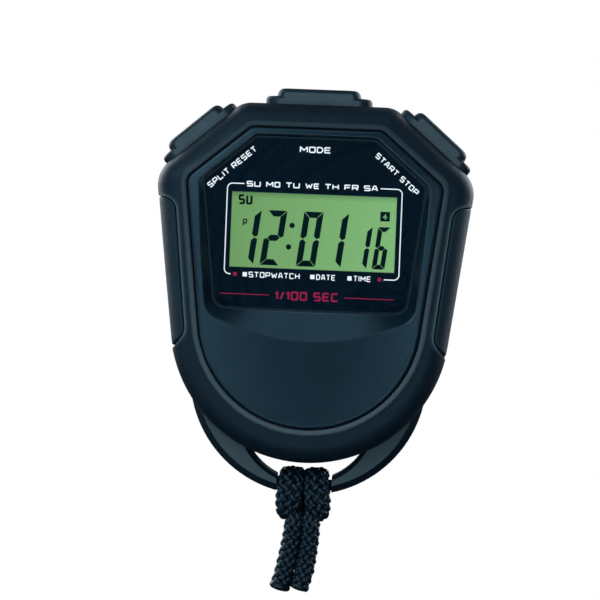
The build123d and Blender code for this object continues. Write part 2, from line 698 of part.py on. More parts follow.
def main():
    os.makedirs("parts", exist_ok=True)
    for name, make in PIECES.items():
        save(name, make())
    save("right_grip", grip(1))
    save("left_grip", grip(-1))
    for name, (angle, half_length) in BUTTONS.items():
        place = button_place(angle)
        save(f"{name}_button", place * button(half_length))
        save(f"{name}_leaf", place * leaf())
    places = [button_place(angle) for angle, _ in BUTTONS.values()]
    save("leaf_posts", Compound([place * leaf_post() for place in places]))
    save("contact_posts", Compound([place * contact_post() for place in places]))


main()
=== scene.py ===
import json
import math
import random

import bmesh
import bpy
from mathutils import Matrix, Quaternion, Vector


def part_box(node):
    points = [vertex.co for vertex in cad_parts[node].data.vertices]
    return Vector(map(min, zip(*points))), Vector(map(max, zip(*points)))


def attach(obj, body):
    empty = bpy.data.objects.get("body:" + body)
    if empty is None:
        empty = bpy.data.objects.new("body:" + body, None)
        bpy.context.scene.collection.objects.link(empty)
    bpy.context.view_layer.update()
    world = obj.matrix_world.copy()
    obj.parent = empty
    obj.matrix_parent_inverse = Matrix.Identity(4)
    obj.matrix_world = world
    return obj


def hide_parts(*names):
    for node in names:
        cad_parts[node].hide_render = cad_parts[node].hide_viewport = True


# A handheld digital stopwatch. Metres, in the CAD's frame: X right, Z up, the display faces -Y.

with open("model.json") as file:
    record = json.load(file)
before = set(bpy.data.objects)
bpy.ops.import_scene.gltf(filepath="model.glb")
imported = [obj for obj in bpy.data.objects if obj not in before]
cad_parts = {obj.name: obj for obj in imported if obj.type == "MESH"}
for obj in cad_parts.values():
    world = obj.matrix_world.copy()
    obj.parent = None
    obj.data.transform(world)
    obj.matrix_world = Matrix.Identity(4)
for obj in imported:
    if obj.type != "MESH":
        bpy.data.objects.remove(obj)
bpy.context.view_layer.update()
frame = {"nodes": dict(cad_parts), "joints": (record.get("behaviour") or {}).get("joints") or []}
nodes = frame["nodes"]
MM = 0.001


# ---- places read from the CAD ----
mask_low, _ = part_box("lens_mask")
glass_low, glass_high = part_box("lcd_front_glass")
_, cover_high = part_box("rear_cover")
cord_low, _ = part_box("lanyard")
case_low, case_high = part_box("front_case")
cord_joint = next(j for j in frame["joints"] if j["name"] == "cord_swing")
BAR = Vector(cord_joint["pos_m"])          # middle of the loop's bar, which the cord is hitched to

PRINT_Y = mask_low.y                       # front of the printed film
SEGMENT_Y = glass_high.y                   # back of the display's front glass
DISPLAY_Z = (glass_low.z + glass_high.z) / 2
SHADE_TOP = DISPLAY_Z + 7.95 * MM          # the shade below the window's top edge starts here
LOOP_TOP = -21.5 * MM                      # the cord loop lies below this
LOOP_FRONT = -11.6 * MM                    # and behind this
BEAD_FOOT = -13.8 * MM                     # the raised bead round the face lies ahead of this


# ---- materials ----
class Recipe:
    """A node material being put together."""

    def __init__(self, name):
        self.material = bpy.data.materials.new(name)
        self.material.use_nodes = True
        self.tree = self.material.node_tree
        self.tree.nodes.clear()
        self.place = self.add("ShaderNodeTexCoord").outputs["Object"]

    def add(self, kind, settings=None, **inputs):
        """A new node. Settings are its properties; inputs are numbers, colours or other nodes' outputs."""
        node = self.tree.nodes.new(kind)
        for key, value in (settings or {}).items():
            setattr(node, key, value)
        for key, value in inputs.items():
            self.feed(node, key.replace("_", " "), value)
        return node

    def feed(self, node, key, value):
        socket = node.inputs[int(key[1:])] if key[0] == "#" else node.inputs[key]
        if isinstance(value, bpy.types.NodeSocket):
            self.tree.links.new(value, socket)
        else:
            socket.default_value = value

    def noise(self, size, detail=3.0, place=None):
        """Cloudy values from 0 to 1 with features of about this size in metres."""
        node = self.add("ShaderNodeTexNoise", Vector=place or self.place, Scale=1 / size, Detail=detail)
        return node.outputs["Fac"]

    def ramp(self, value, low, high, low_to, high_to):
        """Maps low to low_to and high to high_to, and holds steady beyond them."""
        node = self.add("ShaderNodeMapRange", Value=value, From_Min=low, From_Max=high,
                        To_Min=low_to, To_Max=high_to)
        return node.outputs["Result"]

    def mix(self, share, first, second):
        node = self.add("ShaderNodeMix", {"data_type": "RGBA"})
        self.feed(node, "#0", share)
        self.feed(node, "#6", first)
        self.feed(node, "#7", second)
        return node.outputs[2]

    def sum(self, first, second, operation="ADD"):
        node = self.add("ShaderNodeMath", {"operation": operation})
        self.feed(node, "#0", first)
        self.feed(node, "#1", second)
        return node.outputs[0]

    def bump(self, height, strength, depth):
        return self.add("ShaderNodeBump", Height=height, Strength=strength, Distance=depth).outputs["Normal"]

    def split(self, vector):
        return self.add("ShaderNodeSeparateXYZ", Vector=vector).outputs

    def along(self, direction):
        """How far along this direction the shaded point lies."""
        node = self.add("ShaderNodeVectorMath", {"operation": "DOT_PRODUCT"})
        self.feed(node, "#0", self.place)
        self.feed(node, "#1", direction)
        return node.outputs["Value"]

    def edges(self, width):
        """1 on sharp outside edges and thin ridges, falling to 0 on flat and hollow surfaces."""
        inside = self.add("ShaderNodeAmbientOcclusion", {"inside": True, "samples": 8}, Distance=width)
        return self.ramp(inside.outputs["AO"], 0.6, 0.92, 1.0, 0.0)

    def creases(self, width):
        """1 deep in gaps and hollows narrower than this, 0 in the open."""
        outside = self.add("ShaderNodeAmbientOcclusion", {"samples": 8}, Distance=width)
        return self.ramp(outside.outputs["AO"], 0.3, 0.9, 1.0, 0.0)

    def facing_front(self):
        """1 on flat surfaces that face the viewer, 0 elsewhere."""
        normal = self.add("ShaderNodeNewGeometry").outputs["True Normal"]
        return self.ramp(self.split(normal)[1], -0.97, -0.9, 1.0, 0.0)

    def finish(self, shader):
        output = self.add("ShaderNodeOutputMaterial")
        self.tree.links.new(shader, output.inputs["Surface"])
        return self.material

    def surface(self, **inputs):
        return self.finish(self.add("ShaderNodeBsdfPrincipled", **inputs).outputs["BSDF"])


def rgb(red, green, blue):
    """A display colour, 0 to 255, as the linear colour that nodes use."""
    linear = []
    for part in (red, green, blue):
        share = part / 255
        linear.append(((share + 0.055) / 1.055) ** 2.4 if part > 10 else share / 12.92)
    return linear + [1.0]


COOL = (0.34, 0.72, 1.0, 1.0)   # tint of the reflections from dark plastic
PAINTED_HIGHLIGHT = rgb(84, 108, 122)      # painted highlight on the sharp edges of dark plastic


def satin_plastic(name, colour, second, rough, grain=0.00016, relief=0.06, edge_highlight=0.0, shine=0.5):
    """Moulded plastic with a fine spark-eroded texture and faint handling marks, and a painted highlight on
    its sharp edges.
    """
    r = Recipe(name)
    clouds = r.noise(0.012, 4)
    tint = r.mix(clouds, colour, second)
    if edge_highlight:
        # Painted highlight: sharp edges and thin ridges are painted pale.
        tint = r.mix(r.sum(r.edges(0.4 * MM), edge_highlight, "MULTIPLY"), tint, PAINTED_HIGHLIGHT)
    marks = r.ramp(r.noise(0.006, 3), 0.3, 0.7, -0.012, 0.012)
    texture = r.noise(grain, 2)
    return r.surface(
        Base_Color=tint,
        Roughness=r.sum(marks, rough),
        Specular_IOR_Level=shine,
        Specular_Tint=COOL,
        Normal=r.bump(texture, relief, grain * 0.4),
    )


def button_plastic(name):
    """Matt plastic. Painted light: the front of the cap is painted paler, as if lit, but not its step or
    close to its outer edge.
    """
    joint = next(j for j in frame["joints"] if j["name"] == name.replace("_button", "_press"))
    outward = Vector(joint["axis"])
    lengthwise = Vector((outward.z, 0.0, -outward.x))
    offsets = [v.co.dot(lengthwise) for v in nodes[name].data.vertices]
    middle = (max(offsets) + min(offsets)) / 2
    reach = (max(offsets) - min(offsets)) / 2
    top = max(v.co.dot(outward) for v in nodes[name].data.vertices)
    r = Recipe(name + "_plastic")
    away = r.sum(r.sum(r.along(lengthwise), middle, "SUBTRACT"), 0.0, "ABSOLUTE")
    on_cap = r.ramp(away, reach - 3.4 * MM, reach - 2.5 * MM, 1.0, 0.0)
    off_edge = r.ramp(r.along(outward), top - 1.5 * MM, top - 0.9 * MM, 1.0, 0.35)
    highlight_share = r.ramp(r.noise(0.003, 5), 0.3, 0.7, 0.8, 1.0)
    # Painted light: the flat front of the cap is painted paler, patchy, and less so close to the outer edge.
    lit_front = r.sum(r.sum(r.facing_front(), on_cap, "MULTIPLY"), highlight_share, "MULTIPLY")
    lit_front = r.sum(lit_front, off_edge, "MULTIPLY")
    tint = r.mix(lit_front, rgb(12, 25, 34), rgb(64, 80, 88))
    texture = r.noise(0.0002, 2)
    return r.surface(
        Base_Color=tint,
        Roughness=r.ramp(texture, 0.3, 0.7, 0.5, 0.62),
        Specular_Tint=COOL,
        Normal=r.bump(texture, 0.1, 0.00008),
    )


def case_plastic():
    """As satin plastic, but the flat front of the cord loop is painted paler as painted light, as if lit from
    the front, and the raised bead gets a painted highlight on its edges, stronger towards the bottom.
    """
    r = Recipe("case_plastic")
    tint = r.mix(r.noise(0.012, 4), rgb(6, 19, 31), rgb(11, 26, 40))
    _, y, z = r.split(r.place)
    # Painted light: the flat front of the cord loop is painted paler, as if lit from the front.
    flat = r.facing_front()
    low = r.ramp(z, LOOP_TOP, LOOP_TOP - 1.0 * MM, 0.0, 1.0)
    behind = r.ramp(y, LOOP_FRONT - 0.6 * MM, LOOP_FRONT, 0.0, 1.0)
    loop = r.sum(r.sum(flat, low, "MULTIPLY"), behind, "MULTIPLY")
    colour = r.mix(loop, tint, rgb(58, 74, 82))
    # Painted highlight along the raised bead's edges, stronger towards the bottom.
    on_bead = r.ramp(y, BEAD_FOOT - 0.7 * MM, BEAD_FOOT, 1.0, 0.0)
    highlight_share = r.sum(r.edges(0.9 * MM), r.ramp(z, -0.03, 0.03, 0.9, 0.3), "MULTIPLY")
    highlight_share = r.sum(highlight_share, on_bead, "MULTIPLY")
    colour = r.mix(highlight_share, colour, rgb(110, 138, 150))
    marks = r.ramp(r.noise(0.004, 6), 0.35, 0.75, -0.05, 0.07)
    texture = r.noise(0.00016, 2)
    return r.surface(
        Base_Color=colour,
        Roughness=r.sum(marks, 0.54),
        Specular_IOR_Level=0.33,
        Specular_Tint=COOL,
        Normal=r.bump(texture, 0.07, 0.00006),
    )


def clear_sheet(name, tint, rough=0.02, gloss=1.45, edge_shine=0.0):
    """A thin clear sheet: light goes straight through, and a share of it is mirrored. A pale line painted
    along its sharp edges stands in for a highlight.
    """
    r = Recipe(name)
    smears = r.ramp(r.noise(0.01, 5), 0.4, 0.8, rough, rough + 0.05)
    through = r.add("ShaderNodeBsdfTransparent", Color=tint).outputs["BSDF"]
    mirrored = r.add("ShaderNodeBsdfGlossy", Color=COOL, Roughness=smears).outputs["BSDF"]
    going_in = r.sum(1.0, r.add("ShaderNodeNewGeometry").outputs["Backfacing"], "SUBTRACT")
    share = r.sum(r.add("ShaderNodeFresnel", IOR=gloss).outputs["Fac"], going_in, "MULTIPLY")
    both = r.add("ShaderNodeMixShader")
    r.feed(both, "#0", share)
    r.feed(both, "#1", through)
    r.feed(both, "#2", mirrored)
    if not edge_shine:
        return r.finish(both.outputs["Shader"])
    # Painted highlight: a pale matt line along the sheet's sharp edges.
    highlight_line = r.add("ShaderNodeBsdfDiffuse", Color=PAINTED_HIGHLIGHT).outputs["BSDF"]
    highlighted = r.add("ShaderNodeMixShader")
    r.feed(highlighted, "#0", r.sum(r.edges(0.5 * MM), edge_shine, "MULTIPLY"))
    r.feed(highlighted, "#1", both.outputs["Shader"])
    r.feed(highlighted, "#2", highlight_line)
    return r.finish(highlighted.outputs["Shader"])


def printed_ink(name, colour, rough=0.4, glow=0.0):
    """Screen-printed ink, faintly uneven. Glow paints light into it: the ink gives off light in its own
    colour.
    """
    r = Recipe(name)
    uneven = r.noise(0.0008, 3)
    tint = r.mix(r.ramp(uneven, 0.3, 0.7, 0.0, 0.18), colour, [c * 0.75 for c in colour[:3]] + [1.0])
    return r.surface(
        Base_Color=tint,
        Roughness=rough,
        Specular_Tint=COOL,
        Specular_IOR_Level=0.3,
        Normal=r.bump(uneven, 0.04, 0.00002),
        Emission_Color=tint,
        Emission_Strength=glow,
    )


def reflector():
    """The display's grey-green back, brighter towards the right, with painted shade below the window's top
    edge, and glowing as painted light.
    """
    r = Recipe("reflector_foil")
    x, _, z = r.split(r.place)
    across = r.ramp(x, -0.018, 0.018, 0.0, 1.0)
    tint = r.mix(across, rgb(140, 176, 118), rgb(164, 208, 146))
    grain = r.noise(0.0004, 3)
    tint = r.mix(r.ramp(grain, 0.3, 0.7, 0.0, 0.12), tint, rgb(134, 172, 122))
    top_shade = r.ramp(z, SHADE_TOP - 1.6 * MM, SHADE_TOP, 0.0, 0.6)
    tint = r.mix(top_shade, tint, rgb(60, 96, 66))
    return r.surface(
        Base_Color=tint,
        Roughness=0.6,
        Normal=r.bump(grain, 0.05, 0.00003),
        # Painted light: the foil glows, with no lamp behind it.
        Emission_Color=tint,
        Emission_Strength=1.1,
    )


def metal(name, colour, rough, grain=0.0004):
    """Rolled or turned metal with fine lines along X."""
    r = Recipe(name)
    stretched = r.add("ShaderNodeMapping", Vector=r.place, Scale=(0.05, 1.0, 1.0)).outputs["Vector"]
    lines = r.noise(grain, 3, stretched)
    tint = r.mix(r.noise(0.003, 3), colour, [c * 0.8 for c in colour[:3]] + [1.0])
    return r.surface(
        Base_Color=tint,
        Metallic=1.0,
        Roughness=r.ramp(lines, 0.3, 0.7, rough - 0.06, rough + 0.08),
        Normal=r.bump(lines, 0.12, 0.00003),
    )


def rubber(name, colour, second):
    r = Recipe(name)
    grain = r.noise(0.00035, 4)
    tint = r.mix(r.noise(0.006, 4), colour, second)
    return r.surface(
        Base_Color=tint,
        Roughness=r.ramp(grain, 0.3, 0.7, 0.5, 0.66),
        Specular_Tint=COOL,
        Normal=r.bump(grain, 0.16, 0.00008),
    )


def layered_rubber():
    """Elastic connector: thin conducting layers across its length."""
    r = Recipe("connector_rubber")
    stripes = r.add("ShaderNodeTexWave", Vector=r.place, Scale=900.0).outputs["Fac"]
    tint = r.mix(stripes, rgb(214, 150, 160), rgb(30, 28, 30))
    return r.surface(Base_Color=tint, Roughness=0.55, Normal=r.bump(stripes, 0.1, 0.00003))


def board_laminate():
    """Green solder mask over copper tracks."""
    r = Recipe("board_laminate")
    cells = r.add("ShaderNodeTexVoronoi", {"feature": "DISTANCE_TO_EDGE"}, Vector=r.place, Scale=420.0)
    tracks = r.ramp(cells.outputs["Distance"], 0.04, 0.09, 1.0, 0.0)
    tint = r.mix(tracks, rgb(16, 74, 38), rgb(42, 118, 60))
    return r.surface(Base_Color=tint, Roughness=0.3, Normal=r.bump(tracks, 0.3, 0.00003))


def braided_fibre():
    """Yarn of many fine filaments that run along it with a slight twist, painted darker in the hollows
    between yarns as painted shade.
    """
    r = Recipe("cord_fibre")
    along, around, _ = r.split(r.add("ShaderNodeTexCoord").outputs["UV"])
    twist = r.sum(around, r.sum(along, 0.22, "MULTIPLY"))
    strand = r.add("ShaderNodeCombineXYZ", X=twist, Y=r.sum(along, 0.02, "MULTIPLY")).outputs["Vector"]
    filaments = r.add("ShaderNodeTexNoise", Vector=strand, Scale=26.0, Detail=2.0).outputs["Fac"]
    patches = r.noise(0.0011, 3)
    tint = r.mix(r.ramp(patches, 0.35, 0.7, 0.0, 1.0), rgb(6, 15, 25), rgb(16, 33, 47))
    # Painted shade: the yarns go near-black in hollows and gaps.
    tint = r.mix(r.creases(0.5 * MM), tint, rgb(1, 2, 5))
    return r.surface(
        Base_Color=tint,
        Roughness=r.ramp(filaments, 0.3, 0.7, 0.22, 0.42),
        Normal=r.bump(filaments, 0.5, 0.00012),
        Specular_Tint=COOL,
        Sheen_Weight=0.05,
        Sheen_Roughness=0.4,
        Sheen_Tint=rgb(90, 140, 180),
    )


def floor_paint():
    """Pale paint that fades into the white backdrop away from the object."""
    r = Recipe("floor_paint")
    tint = r.mix(r.noise(0.3, 3), rgb(244, 245, 246), rgb(250, 250, 250))
    paint = r.add("ShaderNodeBsdfPrincipled", Base_Color=tint, Roughness=0.75, Emission_Color=tint,
                  Emission_Strength=0.5)
    white = r.add("ShaderNodeEmission", Color=(1, 1, 1, 1), Strength=1.0)
    x, y, _ = r.split(r.place)
    flat = r.add("ShaderNodeCombineXYZ", X=x, Y=y).outputs["Vector"]
    away = r.add("ShaderNodeVectorMath", {"operation": "LENGTH"}, Vector=flat).outputs["Value"]
    both = r.add("ShaderNodeMixShader")
    r.feed(both, "#0", r.ramp(away, 0.05, 0.13, 0.0, 1.0))
    r.feed(both, "#1", paint.outputs["BSDF"])
    r.feed(both, "#2", white.outputs["Emission"])
    return r.finish(both.outputs["Shader"])


finishes = {
    "front_case": case_plastic(),
    # The cover and the face plate get a painted highlight on their sharp edges.
    "rear_cover": satin_plastic("cover_plastic", rgb(6, 19, 31), rgb(11, 26, 40), 0.5,
                                relief=0.09, edge_highlight=0.5),
    "face_plate": satin_plastic("face_plastic", rgb(1, 18, 30), rgb(4, 23, 36), 0.33,
                                grain=0.0003, relief=0.2, edge_highlight=0.8, shine=0.62),
    "left_grip": rubber("grip_rubber", rgb(12, 26, 37), rgb(18, 34, 46)),
    "mode_button": button_plastic("mode_button"),
    "start_stop_button": button_plastic("start_stop_button"),
    "split_reset_button": button_plastic("split_reset_button"),
    # The lens gets a painted highlight along its edges.
    "lens": clear_sheet("lens_clear", rgb(238, 243, 246), edge_shine=0.5),
    "lens_mask": printed_ink("mask_ink", rgb(3, 27, 43), 0.35),
    "lcd_front_glass": clear_sheet("display_glass", rgb(244, 250, 243), 0.08, 1.2),
    "lcd_reflector": reflector(),
    "lcd_frame": satin_plastic("frame_plastic", rgb(205, 205, 198), rgb(214, 214, 208), 0.5),
    "zebra_strips": layered_rubber(),
    "circuit_board": board_laminate(),
    "battery": metal("cell_steel", rgb(190, 190, 186), 0.25),
    "battery_clip": metal("spring_steel", rgb(176, 174, 166), 0.3),
    "case_screws": metal("screw_steel", rgb(150, 151, 153), 0.34),
    "chip_cover": satin_plastic("chip_resin", rgb(14, 14, 15), rgb(22, 22, 23), 0.2, grain=0.0006),
    "chip_parts": satin_plastic("chip_ceramic", rgb(150, 126, 96), rgb(168, 144, 112), 0.45),
    "buzzer_disc": metal("buzzer_brass", rgb(202, 164, 88), 0.3),
    "buzzer_ceramic": satin_plastic("buzzer_glaze", rgb(196, 196, 190), rgb(214, 214, 208), 0.4),
}
same_finish = {
    "right_grip": "left_grip",
    "lcd_rear_glass": "lcd_front_glass",
    "quartz_crystal": "battery",
    "battery_negative_contact": "battery_clip",
    "buzzer_spring": "battery_clip",
    "mode_leaf": "battery_clip",
    "start_stop_leaf": "battery_clip",
    "split_reset_leaf": "battery_clip",
    "leaf_posts": "battery_clip",
    "contact_posts": "battery_clip",
    "board_screws": "case_screws",
}


def paint_nodes():
    for name, piece in nodes.items():
        if name == "lanyard":
            continue
        finish = finishes[same_finish.get(name, name)]
        for slot in piece.material_slots:
            slot.material = finish


# ---- flat printed shapes, drawn in X and Z ----
def plate_mesh(outlines, rear_y, thickness):
    """Closed flat plates with these outlines, from rear_y towards the viewer.

    Neighbours differ a little in thickness, so that no two fronts lie in one plane where strokes cross.
    """
    mesh = bmesh.new()
    for number, outline in enumerate(outlines):
        front_y = rear_y - thickness * (1 + 0.1 * (number % 4))
        rear = [mesh.verts.new((x, rear_y, z)) for x, z in outline]
        front = [mesh.verts.new((x, front_y, z)) for x, z in outline]
        mesh.faces.new(rear)
        mesh.faces.new(list(reversed(front)))
        count = len(outline)
        for i in range(count):
            j = (i + 1) % count
            mesh.faces.new((rear[j], rear[i], front[i], front[j]))
    bmesh.ops.recalc_face_normals(mesh, faces=mesh.faces)
    return mesh


def add_piece(name, mesh, material, body="case"):
    data = bpy.data.meshes.new(name)
    mesh.to_mesh(data)
    mesh.free()
    piece = bpy.data.objects.new(name, data)
    bpy.context.scene.collection.objects.link(piece)
    data.materials.append(material)
    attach(piece, body)
    return piece


def stroke(points, width):
    """Outlines of a line of even width along these points, four-cornered, one for each straight run."""
    points = [Vector(p) for p in points]
    sides = []
    for start, end in zip(points, points[1:]):
        along = (end - start).normalized()
        sides.append(Vector((-along.y, along.x)))
    left, right = [], []
    for point, before, after in zip(points, [sides[0]] + sides, sides + [sides[-1]]):
        mitre = (before + after).normalized()
        reach = mitre * width / 2 / max(mitre.dot(after), 0.4)
        left.append(tuple(point + reach))
        right.append(tuple(point - reach))
    return list(zip(left, left[1:], right[1:], right))


def arc(x, z, radius, start, end, steps=8):
    angles = [math.radians(start + (end - start) * i / steps) for i in range(steps + 1)]
    return [(x + radius * math.cos(a), z + radius * math.sin(a)) for a in angles]


def square(x, z, side):
    half = side / 2
    return [(x - half, z - half), (x + half, z - half), (x + half, z + half), (x - half, z + half)]


# Wide square-cut capitals: the strokes of each letter inside a box one wide and one high.
BOX = [(0, 0), (0, 1), (1, 1), (1, 0), (0, 0)]
GLYPHS = {
    "A": [[(0, 0), (0.3, 1), (0.7, 1), (1, 0)], [(0.15, 0.34), (0.85, 0.34)]],
    "C": [[(1, 1), (0, 1), (0, 0), (1, 0)]],
    "D": [[(0, 0), (0, 1), (0.7, 1), (1, 0.7), (1, 0.3), (0.7, 0), (0, 0)]],
    "E": [[(1, 1), (0, 1), (0, 0), (1, 0)], [(0, 0.5), (0.9, 0.5)]],
    "F": [[(1, 1), (0, 1), (0, 0)], [(0, 0.48), (0.9, 0.48)]],
    "H": [[(0, 0), (0, 1)], [(1, 0), (1, 1)], [(0, 0.5), (1, 0.5)]],
    "I": [[(0.5, 0), (0.5, 1)]],
    "L": [[(0, 1), (0, 0), (1, 0)]],
    "M": [[(0, 0), (0, 1), (0.5, 0.35), (1, 1), (1, 0)]],
    "O": [BOX],
    "P": [[(0, 0), (0, 1), (1, 1), (1, 0.4), (0, 0.4)]],
    "R": [[(0, 0), (0, 1), (1, 1), (1, 0.42), (0, 0.42)], [(0.55, 0.42), (1, 0)]],
    "S": [[(1, 1), (0, 1), (0, 0.5), (1, 0.5), (1, 0), (0, 0)]],
    "T": [[(0, 1), (1, 1)], [(0.5, 1), (0.5, 0)]],
    "U": [[(0, 1), (0, 0), (1, 0), (1, 1)]],
    "W": [[(0, 1), (0.25, 0), (0.5, 0.7), (0.75, 0), (1, 1)]],
    "0": [BOX],
    "1": [[(0, 0.7), (1, 1), (1, 0)]],
    "/": [[(0, 0), (1, 1)]],
}
GLYPH_WIDTH = {"I": 0.01, "M": 1.3, "W": 1.4, "1": 0.35, "/": 0.5, " ": 0.3}


def soften(points, radius):
    """Cuts each corner of a line back by radius and puts two points in its place."""
    points = [Vector(p) for p in points]
    soft = [tuple(points[0])]
    for before, corner, after in zip(points, points[1:], points[2:]):
        soft.append(tuple(corner + (before - corner).normalized() * radius))
        soft.append(tuple(corner + (after - corner).normalized() * radius))
    return soft + [tuple(points[-1])]


def letters(words, width, height, x, z, angle=0.0, weight=0.2, spacing=0.16):
    """Outlines of words of this width and height, centred on (x, z).

    Weight is a stroke's width and spacing the clear gap between letters, both as a share of the height.
    """
    line = height * weight
    gap = line + height * spacing
    unit = (width - line - gap * (len(words) - 1)) / sum(GLYPH_WIDTH.get(c, 1.0) for c in words)
    turn = math.radians(angle)
    outlines = []
    start = 0.0
    for c in words:
        wide = GLYPH_WIDTH.get(c, 1.0) * unit
        for points in GLYPHS.get(c, []):
            placed = []
            for px, pz in points:
                across = start + px * wide + line / 2 - width / 2
                up = pz * (height - line) + line / 2 - height / 2
                placed.append((x + across * math.cos(turn) - up * math.sin(turn),
                               z + across * math.sin(turn) + up * math.cos(turn)))
            outlines += stroke(soften(placed, line * 0.3), line)
        start += wide + gap
    return outlines


# ---- printing on the lens ----
INK = 0.03 * MM                            # thickness of the printed layers
LINE = 0.21 * MM
FRAME_HALF = 17.25 * MM                    # white frame round the display
FRAME_TOP = DISPLAY_Z + 9.05 * MM          # the weekdays stand in its top line
FRAME_LOW = DISPLAY_Z - 8.85 * MM          # and the labels in its bottom line
FRAME_CORNER = 1.0 * MM
TOP_GAP = (-13.95 * MM, 12.95 * MM)        # ends of the frame's lines beside the weekdays
LOW_GAP = (-15.95 * MM, 14.3 * MM)         # and beside the labels
WEEKDAYS = ["SU", "MO", "TU", "WE", "TH", "FR", "SA"]
WEEKDAY_START = -12.1                      # millimetres, as are the rest of these
WEEKDAY_STEP = 3.86
LABELS = [("STOPWATCH", -12.4, -2.3), ("DATE", 0.95, 4.75), ("TIME", 8.3, 11.75)]
LABEL_MARK_GAP = 0.75                      # from a label's start to the middle of its square mark


def window_frame_lines():
    """White frame round the display, open above for the weekdays and below for the labels."""
    side = FRAME_HALF - FRAME_CORNER
    top = FRAME_TOP - FRAME_CORNER
    low = FRAME_LOW + FRAME_CORNER
    left = [(TOP_GAP[0], FRAME_TOP)]
    left += arc(-side, top, FRAME_CORNER, 90, 180)
    left += arc(-side, low, FRAME_CORNER, 180, 270)
    left += [(LOW_GAP[0], FRAME_LOW)]
    right = [(TOP_GAP[1], FRAME_TOP)]
    right += arc(side, top, FRAME_CORNER, 90, 0)
    right += arc(side, low, FRAME_CORNER, 0, -90)
    right += [(LOW_GAP[1], FRAME_LOW)]
    return stroke(left, LINE) + stroke(right, LINE)


def print_lens():
    # Painted light: the white and red inks glow.
    white = printed_ink("ink_white", rgb(236, 240, 242), glow=0.65)
    red = printed_ink("ink_red", rgb(160, 24, 70), glow=0.4)
    add_piece("print_frame", plate_mesh(window_frame_lines(), PRINT_Y, INK), white)

    words = []
    for i, day in enumerate(WEEKDAYS):
        x = (WEEKDAY_START + WEEKDAY_STEP * i) * MM
        words += letters(day, 2.8 * MM, 1.12 * MM, x, FRAME_TOP, weight=0.22)
    words += letters("MODE", 6.15 * MM, 1.25 * MM, -0.2 * MM, DISPLAY_Z + 16.2 * MM)
    words += letters("SPLIT RESET", 12.0 * MM, 1.2 * MM, -16.5 * MM, DISPLAY_Z + 12.25 * MM, 41.0)
    words += letters("START STOP", 11.2 * MM, 1.15 * MM, 16.1 * MM, DISPLAY_Z + 12.05 * MM, -41.6)
    for word, start, end in LABELS:
        words += letters(word, (end - start) * MM, 1.12 * MM, (start + end) / 2 * MM, FRAME_LOW, weight=0.17)
    words += [square((start - LABEL_MARK_GAP) * MM, FRAME_LOW, 0.85 * MM) for _, start, _ in LABELS]
    add_piece("print_words", plate_mesh(words, PRINT_Y, INK), white)

    strip = DISPLAY_Z - 12.75 * MM
    marks = [square(x * MM, FRAME_LOW, 0.72 * MM) for x in (-15.1, 13.45)]
    marks += stroke([(-17.9 * MM, strip), (-8.3 * MM, strip)], 0.16 * MM)
    marks += stroke([(6.7 * MM, strip), (16.4 * MM, strip)], 0.16 * MM)
    marks += letters("1/100 SEC", 12.6 * MM, 1.75 * MM, -0.8 * MM, strip, weight=0.2)
    add_piece("print_red_marks", plate_mesh(marks, PRINT_Y, INK), red)


# ---- display ----
LIT = {
    "0": "abcdef", "1": "bc", "2": "abged", "6": "afgcde",
}


def segment(name, w, h, t, gap=0.1):
    """One bar of a seven-bar digit of width w, height h and bar thickness t, in millimetres."""
    mid = h / 2
    upper_right = [
        (w, h - gap), (w, mid + t * 0.3), (w - t / 2, mid + gap / 2),
        (w - t, mid + t / 2), (w - t, h - t - gap / 2),
    ]
    bars = {
        "a": [(gap, h), (w - gap, h), (w - t - gap / 2, h - t), (t + gap / 2, h - t)],
        "b": upper_right,
        "c": [(x, h - z) for x, z in upper_right],
        "d": [(gap, 0), (w - gap, 0), (w - t - gap / 2, t), (t + gap / 2, t)],
        "e": [(w - x, h - z) for x, z in upper_right],
        "f": [(w - x, z) for x, z in upper_right],
        "g": [
            (t / 2 + gap, mid), (t + gap / 2, mid + t / 2), (w - t - gap / 2, mid + t / 2),
            (w - t / 2 - gap, mid), (w - t - gap / 2, mid - t / 2), (t + gap / 2, mid - t / 2),
        ],
    }
    return bars[name]


SLANT = math.tan(math.radians(7.0))


def lean(points, x, z):
    """Leans a digit's outline over and moves its lower left corner to (x, z), in millimetres."""
    return [((x + px + pz * SLANT) * MM, DISPLAY_Z + (z + pz) * MM) for px, pz in points]


DIGITS_FOOT = -6.85        # foot of the digits, from the display's middle, in millimetres like the rest
LARGE_DIGITS = [("1", -15.6), ("2", -10.5), ("0", -3.3), ("1", 1.75)]     # each with its left edge
LARGE_SIZE = (3.85, 10.9, 1.2)             # width, height and bar thickness
SMALL_DIGITS = [("1", 8.15), ("6", 11.75)]
SMALL_SIZE = (2.55, 8.4, 0.94)
COLON = [(-4.3, 1.2), (-4.85, -3.1)]
ARROW_BOX = (14.05, 3.65)                  # middle of the dark square that holds the arrow
ARROW_AT = (14.0, 3.65)


